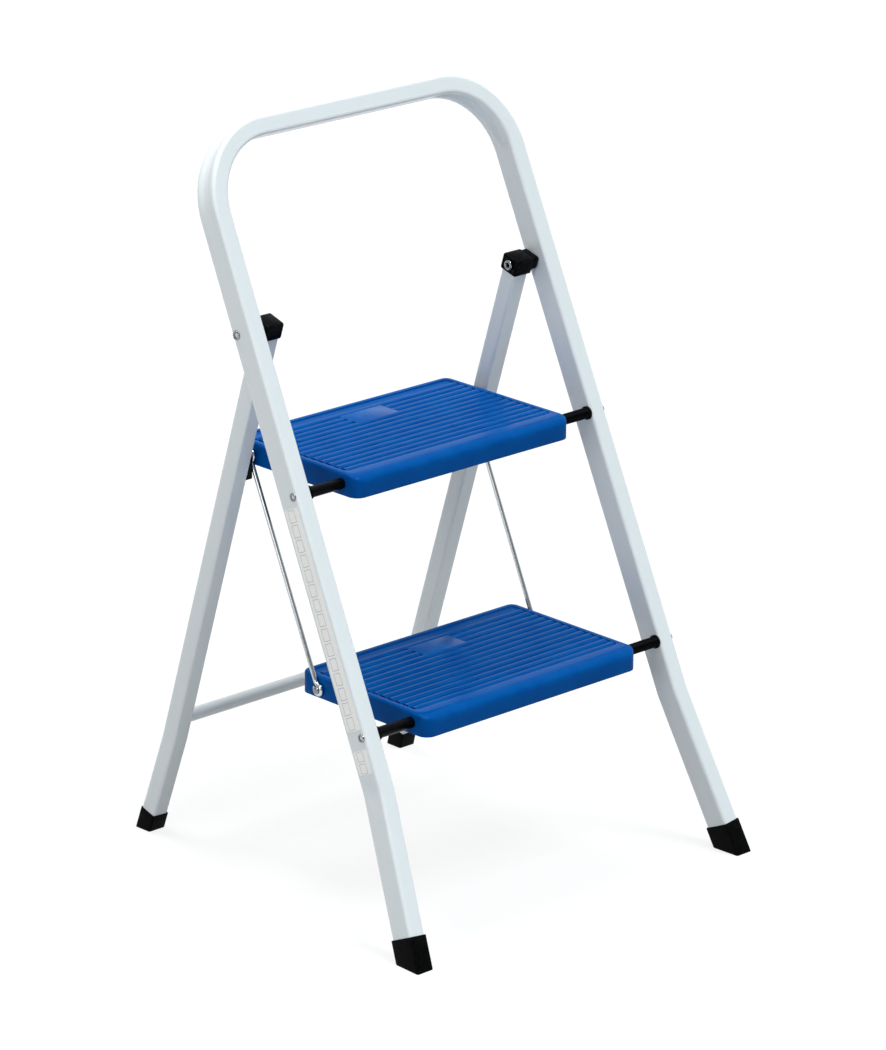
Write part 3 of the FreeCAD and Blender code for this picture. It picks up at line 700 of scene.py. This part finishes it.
def makeHingeRivet(side, word):
    y, z = jointAt["rear_frame_fold"].y, jointAt["rear_frame_fold"].z
    outer = legX(hingeS) + layout["legSide"] + layout["headGap"]
    inner = layout["rearX"] - 12.3
    back = [(2 * inner - x, r) for x, r in rolledRim(inner, 5.6, 2.3, 1.9, 1.6)]
    profile = list(reversed(back)) + [(inner, 4.0), (outer, 4.0)] + rolledRim(outer, 5.3, 2.6, 1.7, 1.8)
    bm = bmesh.new()
    lathe(bm, mirrored(profile, side), (y, z), 48)
    place(meshFromBmesh("hingeRivet" + word.title(), bm, 30), "front_frame", "rivet_steel", finish["rivetSteel"],
          "hinge_rivet_" + word)


for side, word in sides:
    makeHingeBlock(side, word, hingeShape)
    makeHingeRivet(side, word)

sleeveShape = {"radius": 6.0, "collar": 7.4, "collarLength": 3.0, "rim": 4.7, "bore": 2.3, "rimRise": 1.5,
               "boreDepth": 2.6}


def makeRodAndSleeves(which, p):
    at = jointAt[which + "_step_fold"]
    s = rodS[which]
    reach = legX(s) + layout["legSide"] + layout["headGap"]
    head = [(reach, 4.0)] + rolledRim(reach, p["rim"], p["bore"], p["rimRise"], p["boreDepth"])
    profile = [(-x, r) for x, r in reversed(head)] + head
    bm = bmesh.new()
    lathe(bm, profile, (at.y, at.z), 40)
    place(meshFromBmesh(which + "PivotRod", bm, 30), "front_frame", "rivet_steel", finish["rivetSteel"],
          which + "_pivot_rod")
    outer, inner = legX(s) - 10.09, layout["treadHalf"] + 0.5
    r, c, n = p["radius"], p["collar"], p["collarLength"]
    sleeve = [(inner, 4.06), (inner, r - 0.5), (inner + 0.15, r - 0.15), (inner + 0.5, r), (outer - n - 1.2, r),
              (outer - n - 0.5, r + 0.25),
              (outer - n, r + 0.9), (outer - n + 0.2, c - 0.2), (outer - n + 0.6, c), (outer - 0.5, c),
              (outer - 0.1, c - 0.25),
              (outer, c - 0.7), (outer, 4.06)]
    for side, word in sides:
        bm = bmesh.new()
        lathe(bm, mirrored(sleeve, side), (at.y, at.z), 40)
        place(meshFromBmesh(which + "Sleeve" + word.title(), bm, 30), "front_frame", "black_plastic",
              finish["blackPlastic"], which + "_rod_spacer_" + word)


for which in ("upper", "lower"):
    makeRodAndSleeves(which, sleeveShape)
print("hinges and rods ready")

treadShape = {
    "half": layout["treadHalf"], "front": 22.5, "back": 170.0, "up": 11.7, "down": 13.0, "wall": 3.0,
    "frontCorner": 12.0, "backCorner": 10.0, "noseBack": 13.0, "noseLow": 2.0, "edge": 3.0,
    "rim": 7.0, "recess": 2.2, "frontRim": 23.5,
    "ribCount": 13, "firstRib": 6.8, "lastRib": 146.0, "ribWidth": 9.3, "ribHeight": 2.5,
    "patchHalf": 30.0, "patchBack": 141.0, "patchDepth": 31.0, "patchHeight": 2.5,
    "dot": 2.3, "webLow": -5.5, "webThick": 2.4,
}


def treadRing(p, sideIn, sideZ, frontIn, frontZ, cornerSteps=8, sideSteps=10, acrossSteps=24):
    half, y0, y1 = p["half"] - sideIn, -p["front"] + frontIn, p["back"] - sideIn
    rf = max(p["frontCorner"] - max(sideIn, 0), 3.0)
    rb = max(p["backCorner"] - max(sideIn, 0), 3.0)
    ring = []

    def put(x, y, w):
        ring.append((x, y, frontZ * w + sideZ * (1 - w)))

    for k in range(acrossSteps):  # front edge, left to right
        put(-half + rf + (2 * half - 2 * rf) * k / acrossSteps, y0, 1.0)
    for k in range(cornerSteps):
        t = pi / 2 * k / cornerSteps
        put(half - rf + rf * sin(t), y0 + rf - rf * cos(t), cos(t) ** 2)
    for k in range(sideSteps):
        put(half, y0 + rf + (y1 - rb - y0 - rf) * k / sideSteps, 0.0)
    for k in range(cornerSteps):
        t = pi / 2 * k / cornerSteps
        put(half - rb + rb * cos(t), y1 - rb + rb * sin(t), 0.0)
    for k in range(acrossSteps):
        put(half - rb - (2 * half - 2 * rb) * k / acrossSteps, y1, 0.0)
    for k in range(cornerSteps):
        t = pi / 2 * k / cornerSteps
        put(-half + rb - rb * sin(t), y1 - rb + rb * cos(t), 0.0)
    for k in range(sideSteps):
        put(-half, y1 - rb - (y1 - rb - y0 - rf) * k / sideSteps, 0.0)
    for k in range(cornerSteps):
        t = pi / 2 * k / cornerSteps
        put(-half + rf - rf * cos(t), y0 + rf - rf * sin(t), sin(t) ** 2)
    return ring


def makeTread(which, p):
    up, down, wall, edge = p["up"], -p["down"], p["wall"], p["edge"]
    floor = up - p["recess"]
    under = floor - wall
    rings = [treadRing(p, wall, under, wall + 0.4, under), treadRing(p, wall, under - 1.5, wall + 0.2, under - 3.0),
             treadRing(p, wall, down + 0.4, wall, down + 0.4),
             treadRing(p, wall - 0.3, down, wall - 0.3, down), treadRing(p, 0.7, down, 0.7, down),
             treadRing(p, 0.2, down + 0.2, 0.2, down + 0.2), treadRing(p, 0.0, down + 0.7, 0.0, down + 0.7),
             treadRing(p, 0.0, -6.0, 0.0, -8.0), treadRing(p, 0.0, 0.0, 0.0, -3.0)]
    for k in range(9):
        t = pi / 2 * k / 8
        rings.append(treadRing(p, edge * (1 - cos(t)), up - edge + edge * sin(t),
                               p["noseBack"] * (1 - cos(t)), p["noseLow"] + (up - p["noseLow"]) * sin(t)))
    rim, fr = p["rim"], p["frontRim"]
    for a, b, z in ((-3.0, -9.0, 0.0), (-1.3, -5.0, 0.0), (-0.6, -2.0, -0.1), (-0.25, -0.9, -0.35), (0.0, 0.0, -0.9),
                    (0.15, 0.4, -1.5), (0.5, 1.0, -2.0), (1.2, 1.8, -2.2)):
        rings.append(treadRing(p, rim + a, up + z, fr + b, up + z))
    bm = bmesh.new()
    loft(bm, rings)
    patch = []  # plain raised panel near the rear
    cy = p["patchBack"] - p["patchDepth"] / 2
    top = floor + p["patchHeight"]
    for inset, z in ((0.0, floor - 0.4), (0.0, top - 0.5), (0.15, top - 0.15), (0.5, top)):
        panel = roundedRect(2 * (p["patchHalf"] - inset), p["patchDepth"] - 2 * inset, max(1.2 - inset, 0.4), 3)
        patch.append([(a, cy + b, z) for a, b in panel])
    loft(bm, patch)
    for side in (-1, 1):  # bosses inside the skirt, and the small moulded dot outside it
        h = side * p["half"]
        lathe(bm, [(h - side * 2.6, 7.4), (h - side * 12.4, 7.4), (h - side * 13.0, 6.9), (h - side * 13.0, 4.1)],
              (0.0, 0.0), 32)
        lathe(bm, [(h - side * 2.6, 6.0), (h - side * 7.5, 6.0), (h - side * 8.0, 5.5), (h - side * 8.0, 3.2)],
              (layout["pinBack"], -layout["pinDrop"]), 32)
        dot = domeProfile(0.0, p["dot"], 0.45, 4)
        lathe(bm, [(h - side * 0.4, p["dot"])] + [(h + side * x, r) for x, r in dot], (132.5, 5.2), 20)
    webLow, webHigh, thick = p["webLow"], under + 0.1, p["webThick"]
    for y in (p["back"] * 0.28, p["back"] * 0.62):  # the two long webs
        y0, y1, z1 = y - thick / 2, y + thick / 2, under + 0.2
        loft(bm, [[(x, y0, webLow), (x, y1, webLow), (x, y1, z1), (x, y0, z1)]
                  for x in (-p["half"] + 2.8, p["half"] - 2.8)])
    shell = meshFromBmesh(which + "TreadShell", bm)
    back = p["back"] - wall + 0.1
    front = -p["front"] + wall + 0.4
    mesh = bakeNodes(shell, ribTree, ribIds, {
        "Rib Count": p["ribCount"], "Rib Pitch": (p["lastRib"] - p["firstRib"]) / (p["ribCount"] - 1) * mm,
        "Rib Length": 2 * (p["half"] - rim - 2.4) * mm, "Rib Width": p["ribWidth"] * mm,
        "Rib Height": p["ribHeight"] * mm,
        "First Rib": (0.0, p["firstRib"] * mm, floor * mm), "Web Count": 4,
        "Web Gap": (0.4 * p["half"] * mm, 0.0, 0.0),
        "Web Size": (thick * mm, (back - front) * mm, (webHigh - webLow) * mm),
        "First Web": (-0.6 * p["half"] * mm, (front + back) / 2 * mm, (webLow + webHigh) / 2 * mm),
        "Finish": finish["bluePlastic"]}, which + "Tread")
    at = jointAt[which + "_step_fold"]
    mesh.transform(Matrix.Translation((0.0, at.y * mm, at.z * mm)))
    place(finishMesh(which + "Tread", mesh, 40), which + "_step", "blue_plastic", finish["bluePlastic"],
          which + "_tread")


for which in ("upper", "lower"):
    makeTread(which, treadShape)
print("treads ready")

linkShape = {"wire": 2.5, "x": layout["treadHalf"] + 3.0, "upperEye": 6.05, "lowerEye": 4.7, "neck": 5.0}
upperPin = jointAt["left_link_pivot"]
lowerPin = jointAt["lower_step_fold"] + Vector((0.0, layout["pinBack"], -layout["pinDrop"]))


def eyePoints(centre, way, r, neck):  # from the wire's run, round the pin, and back to the neck
    side = Vector((0.0, -way.z, way.y))
    pts = [centre + way * (r + neck + 6.0), centre + way * (r + neck), centre + way * (r + neck * 0.45) + side * 0.5]
    for k in range(19):
        t = radians(24 + (336 - 24) * k / 18)
        pts.append(centre + way * (r * cos(t)) + side * (r * sin(t)))
    return pts


def makeLink(side, word, p):
    x = side * p["x"]
    low, high = Vector((x, lowerPin.y, lowerPin.z)), Vector((x, upperPin.y, upperPin.z))
    way = (high - low).normalized()
    pts = list(reversed(eyePoints(high, -way, p["upperEye"], p["neck"]))) + \
        [low.lerp(high, f) for f in (0.75, 0.5, 0.25)] + eyePoints(low, way, p["lowerEye"], p["neck"])
    curve = bpy.data.curves.new("link", "CURVE")
    curve.dimensions = "3D"
    curve.bevel_depth = p["wire"] * mm
    curve.bevel_resolution = 6
    curve.use_fill_caps = True
    spline = curve.splines.new("NURBS")
    spline.points.add(len(pts) - 1)
    for q, s in zip(pts, spline.points):
        s.co = (*(q * mm), 1.0)
    spline.order_u = 3
    spline.use_endpoint_u = True
    spline.resolution_u = 5
    curveObj = bpy.data.objects.new("linkCurve", curve)
    scene.collection.objects.link(curveObj)
    mesh = bpy.data.meshes.new_from_object(curveObj.evaluated_get(bpy.context.evaluated_depsgraph_get()))
    bpy.data.objects.remove(curveObj)
    bm = bmesh.new()
    bm.from_mesh(mesh)
    place(meshFromBmesh(word + "Link", bm, 50), word + "_link", "zinc_steel", finish["zincSteel"],
          word + "_link_wire")


for side, word in sides:
    makeLink(side, word, linkShape)


def makeLinkRivets():
    bm = bmesh.new()
    reach = layout["treadHalf"] + 6.0
    for side in (-1, 1):
        profile = [(layout["treadHalf"] - 8.6, 2.2), (reach, 2.2), (reach, 3.9)] + domeProfile(reach + 0.25, 4.1, 2.0)
        lathe(bm, mirrored(profile, side), (lowerPin.y, lowerPin.z), 40)
    place(meshFromBmesh("linkRivets", bm, 30), "lower_step", "rivet_steel", finish["rivetSteel"], "lower_link_rivets")


def makeRearRod():
    lo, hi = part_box("rear_step_rod")
    end = hi.x / mm
    near = layout["treadHalf"] + 6.0
    half = [(end, 0.0), (end, 3.6), (end - 0.2, 4.3), (end - 0.7, 4.8), (end - 1.3, 5.0), (near + 0.3, 5.0),
            (near, 4.7), (near, 3.5)]
    profile = [(-x, r) for x, r in half] + list(reversed(half))
    bm = bmesh.new()
    lathe(bm, profile, (upperPin.y, upperPin.z), 36)
    place(meshFromBmesh("rearRod", bm, 30), "upper_step", "zinc_steel", finish["zincSteel"], "rear_step_rod")


makeLinkRivets()
makeRearRod()
for name in ("step_hook_left", "step_hook_right"):
    frame["nodes"][name].data.materials[0] = finish["blackPlastic"]
frame["nodes"]["hook_rivets"].data.materials[0] = finish["rivetSteel"]

labels = {"width": 21.0, "corner": 1.5, "thick": 0.3,
          "film": (0.97, 0.97, 0.95), "filmShift": (0.93, 0.935, 0.92), "panelLine": (0.26, 0.28, 0.29)}


def labelMaterial(p):
    mat = bpy.data.materials.new("labelFilm")
    mat.use_nodes = True
    tree = mat.node_tree
    bsdf = tree.nodes["Principled BSDF"]
    grain = useGroup(tree, grainGroup, {"Fine Scale": 700.0, "Broad Scale": 40.0, "Broad Share": 0.5})
    dust = useGroup(tree, dustGroup, {"Scale": 60.0, "Amount": 0.08})
    film = mixColour(tree, ramp(tree, grain.outputs["Tone"], 0.3, 0.7), p["film"], p["filmShift"])
    uv = node(tree, "ShaderNodeUVMap", uv_map="panels")
    parts = node(tree, "ShaderNodeSeparateXYZ", [(0, uv.outputs["UV"])])
    offX = maths(tree, "ABSOLUTE", maths(tree, "SUBTRACT", parts.outputs["X"], 0.56))
    cell = maths(tree, "FRACT", parts.outputs["Y"])
    offY = maths(tree, "ABSOLUTE", maths(tree, "SUBTRACT", cell, 0.5))
    inX, inY = maths(tree, "LESS_THAN", offX, 0.24), maths(tree, "LESS_THAN", offY, 0.42)
    inX2, inY2 = maths(tree, "LESS_THAN", offX, 0.215), maths(tree, "LESS_THAN", offY, 0.385)
    outerBox, innerBox = maths(tree, "MULTIPLY", inX, inY), maths(tree, "MULTIPLY", inX2, inY2)
    line = maths(tree, "SUBTRACT", outerBox, innerBox)
    faint = maths(tree, "MULTIPLY", line, 0.8)
    lined = mixColour(tree, faint, film, p["panelLine"])
    dusty = mixColour(tree, dust.outputs["Mask"], lined, (0.5, 0.5, 0.48))
    tree.links.new(dusty, bsdf.inputs["Base Color"])
    rough = node(tree, "ShaderNodeMapRange", [("Value", grain.outputs["Tone"]), ("To Min", 0.22), ("To Max", 0.34)])
    tree.links.new(rough.outputs["Result"], bsdf.inputs["Roughness"])
    bump = node(tree, "ShaderNodeBump", [("Strength", 0.15), ("Distance", 0.1 * mm),
                                         ("Height", grain.outputs["Height"])])
    tree.links.new(bump.outputs["Normal"], bsdf.inputs["Normal"])
    return mat


labelFinish = labelMaterial(labels)


def makeLabel(name, nodeName, low, high, p):  # blank film with a column of empty outlines
    x = legX(low) + 10.01
    slope = layout["legTaper"] * cosF
    bm = bmesh.new()
    uvLayer = bm.loops.layers.uv.new("panels")
    rings = []
    for inset, lift in ((0.0, 0.0), (0.0, p["thick"] * 0.6), (0.12, p["thick"])):
        ring = []
        for a, b in roundedRect(p["width"] - 2 * inset, high - low - 2 * inset, p["corner"], 5):
            s = (low + high) / 2 + b
            ring.append(frontPoint(-(x + lift - slope * (s - low)), s, a))
        rings.append(ring)
    loft(bm, rings)
    cells = max(1, round((high - low) / 15.5))
    for face in bm.faces:
        for loop in face.loops:
            q = loop.vert.co / mm
            s = (q.y - layout["frontFootY"]) * sinF + q.z * cosF
            o = (q.y - layout["frontFootY"]) * cosF - q.z * sinF
            loop[uvLayer].uv = ((o + p["width"] / 2) / p["width"], (s - low) / (high - low) * cells)
    place(meshFromBmesh(name, bm, 30), "front_frame", "label_film", labelFinish, nodeName)


makeLabel("upperLabel", "upper_leg_label", rodS["lower"] + 9, rodS["upper"] - 11, labels)
makeLabel("lowerLabel", "lower_leg_label", rodS["lower"] - 37, rodS["lower"] - 12, labels)
print("links and labels ready")

# camera, floor and light
view = {"location": (-3.66535, -3.89929, 2.18740), "yaw": 43.41, "pitch": -18.82, "roll": 0.33, "lens": 183.869}


def makeCamera(p):
    yaw, pitch, roll = (radians(p[k]) for k in ("yaw", "pitch", "roll"))
    ahead = Vector((sin(yaw) * cos(pitch), cos(yaw) * cos(pitch), sin(pitch)))
    right0 = Vector((cos(yaw), -sin(yaw), 0.0))
    up0 = right0.cross(ahead)
    right = right0 * cos(roll) + up0 * sin(roll)
    up = up0 * cos(roll) - right0 * sin(roll)
    data = bpy.data.cameras.new("camera")
    data.lens = p["lens"]
    data.sensor_width = 36.0
    data.clip_end = 60.0
    cam = bpy.data.objects.new("camera", data)
    cam.matrix_world = Matrix.Translation(p["location"]) @ Matrix((right, up, -ahead)).transposed().to_4x4()
    scene.collection.objects.link(cam)
    scene.camera = cam


def whiteForView(tree, strength, mirroredShare=1.0):  # plain white wherever it is seen or mirrored
    rays = node(tree, "ShaderNodeLightPath")
    mirror = maths(tree, "MULTIPLY", rays.outputs["Is Glossy Ray"], mirroredShare)
    seen = maths(tree, "ADD", rays.outputs["Is Camera Ray"], mirror)
    seen = maths(tree, "ADD", seen, rays.outputs["Is Transmission Ray"], clamp=True)
    return maths(tree, "MULTIPLY", seen, strength)


lights = {
    "worldColour": (0.97, 0.985, 1.0), "worldStrength": 0.32,
    "suns": (("key", (0.10, -0.38, 0.87), 24.0, 2.2, (0.93, 1.0, 1.02)),
             ("top", (0.0, 0.35, 0.93), 26.0, 1.6, (0.96, 1.0, 1.0))),
    "lamps": (("fill", (-2.1, -0.5, 1.15), 1.3, 12.5, (1.0, 0.975, 0.955)),),
    "backdropSide": (0.66, 0.70, 0.27),
    "floorTone": (0.95, 0.95, 0.95), "floorBounce": (0.34, 0.345, 0.35), "floorWhite": 0.82,
}


def makeSurroundings(p):
    world = bpy.data.worlds.new("world")
    scene.world = world
    world.use_nodes = True
    tree = world.node_tree
    out = tree.nodes["World Output"]
    lit = tree.nodes["Background"]
    lit.inputs["Color"].default_value = (*p["worldColour"], 1)
    lit.inputs["Strength"].default_value = p["worldStrength"]
    white = node(tree, "ShaderNodeBackground", [("Color", (1, 1, 1, 1)), ("Strength", 1.0)])
    mix = node(tree, "ShaderNodeMixShader")
    way = node(tree, "ShaderNodeTexCoord").outputs["Generated"]
    towards = node(tree, "ShaderNodeVectorMath", [(0, way), (1, p["backdropSide"])], operation="DOT_PRODUCT")
    # the pale backdrop is behind the stool, the room beyond is dim
    backdrop = ramp(tree, towards.outputs["Value"], -0.15, 0.45)
    tree.links.new(whiteForView(tree, 1.0, backdrop), mix.inputs[0])
    tree.links.new(lit.outputs[0], mix.inputs[1])
    tree.links.new(white.outputs[0], mix.inputs[2])
    tree.links.new(mix.outputs[0], out.inputs["Surface"])

    bm = bmesh.new()
    corners = [bm.verts.new((sx * 20, sy * 20, 0)) for sx, sy in ((-1, -1), (1, -1), (1, 1), (-1, 1))]
    bm.faces.new(corners)
    mesh = bpy.data.meshes.new("floor")
    bm.to_mesh(mesh)
    bm.free()
    floor = bpy.data.objects.new("floor", mesh)
    scene.collection.objects.link(floor)
    mat = bpy.data.materials.new("paleFloor")
    mat.use_nodes = True
    tree = mat.node_tree
    out = tree.nodes["Material Output"]
    matte = tree.nodes["Principled BSDF"]
    rays = node(tree, "ShaderNodeLightPath")
    tree.links.new(mixColour(tree, rays.outputs["Is Diffuse Ray"], p["floorTone"], p["floorBounce"]),
                   matte.inputs["Base Color"])
    matte.inputs["Roughness"].default_value = 0.9
    matte.inputs["Specular IOR Level"].default_value = 0.1
    glow = node(tree, "ShaderNodeEmission", [("Color", (1, 1, 1, 1)), ("Strength", 1.0)])
    mix = node(tree, "ShaderNodeMixShader")
    tree.links.new(whiteForView(tree, p["floorWhite"]), mix.inputs[0])
    tree.links.new(matte.outputs[0], mix.inputs[1])
    tree.links.new(glow.outputs[0], mix.inputs[2])
    tree.links.new(mix.outputs[0], out.inputs["Surface"])
    mesh.materials.append(mat)

    target = Vector((0.0, 0.0, 0.42))
    for name, way, spread, power, colour in p["suns"]:
        data = bpy.data.lights.new(name, "SUN")
        data.angle = radians(spread)
        data.energy = power
        data.color = colour
        lamp = bpy.data.objects.new(name, data)
        lamp.rotation_euler = Vector(way).to_track_quat("Z", "Y").to_euler()
        scene.collection.objects.link(lamp)
    for name, at, size, power, colour in p["lamps"]:
        data = bpy.data.lights.new(name, "AREA")
        data.shape = "DISK"
        data.size = size
        data.energy = power
        data.color = colour
        lamp = bpy.data.objects.new(name, data)
        lamp.location = at
        lamp.rotation_euler = (target - Vector(at)).to_track_quat("-Z", "Y").to_euler()
        scene.collection.objects.link(lamp)


makeCamera(view)
makeSurroundings(lights)
scene.view_settings.view_transform = "Standard"

print("scene ready")
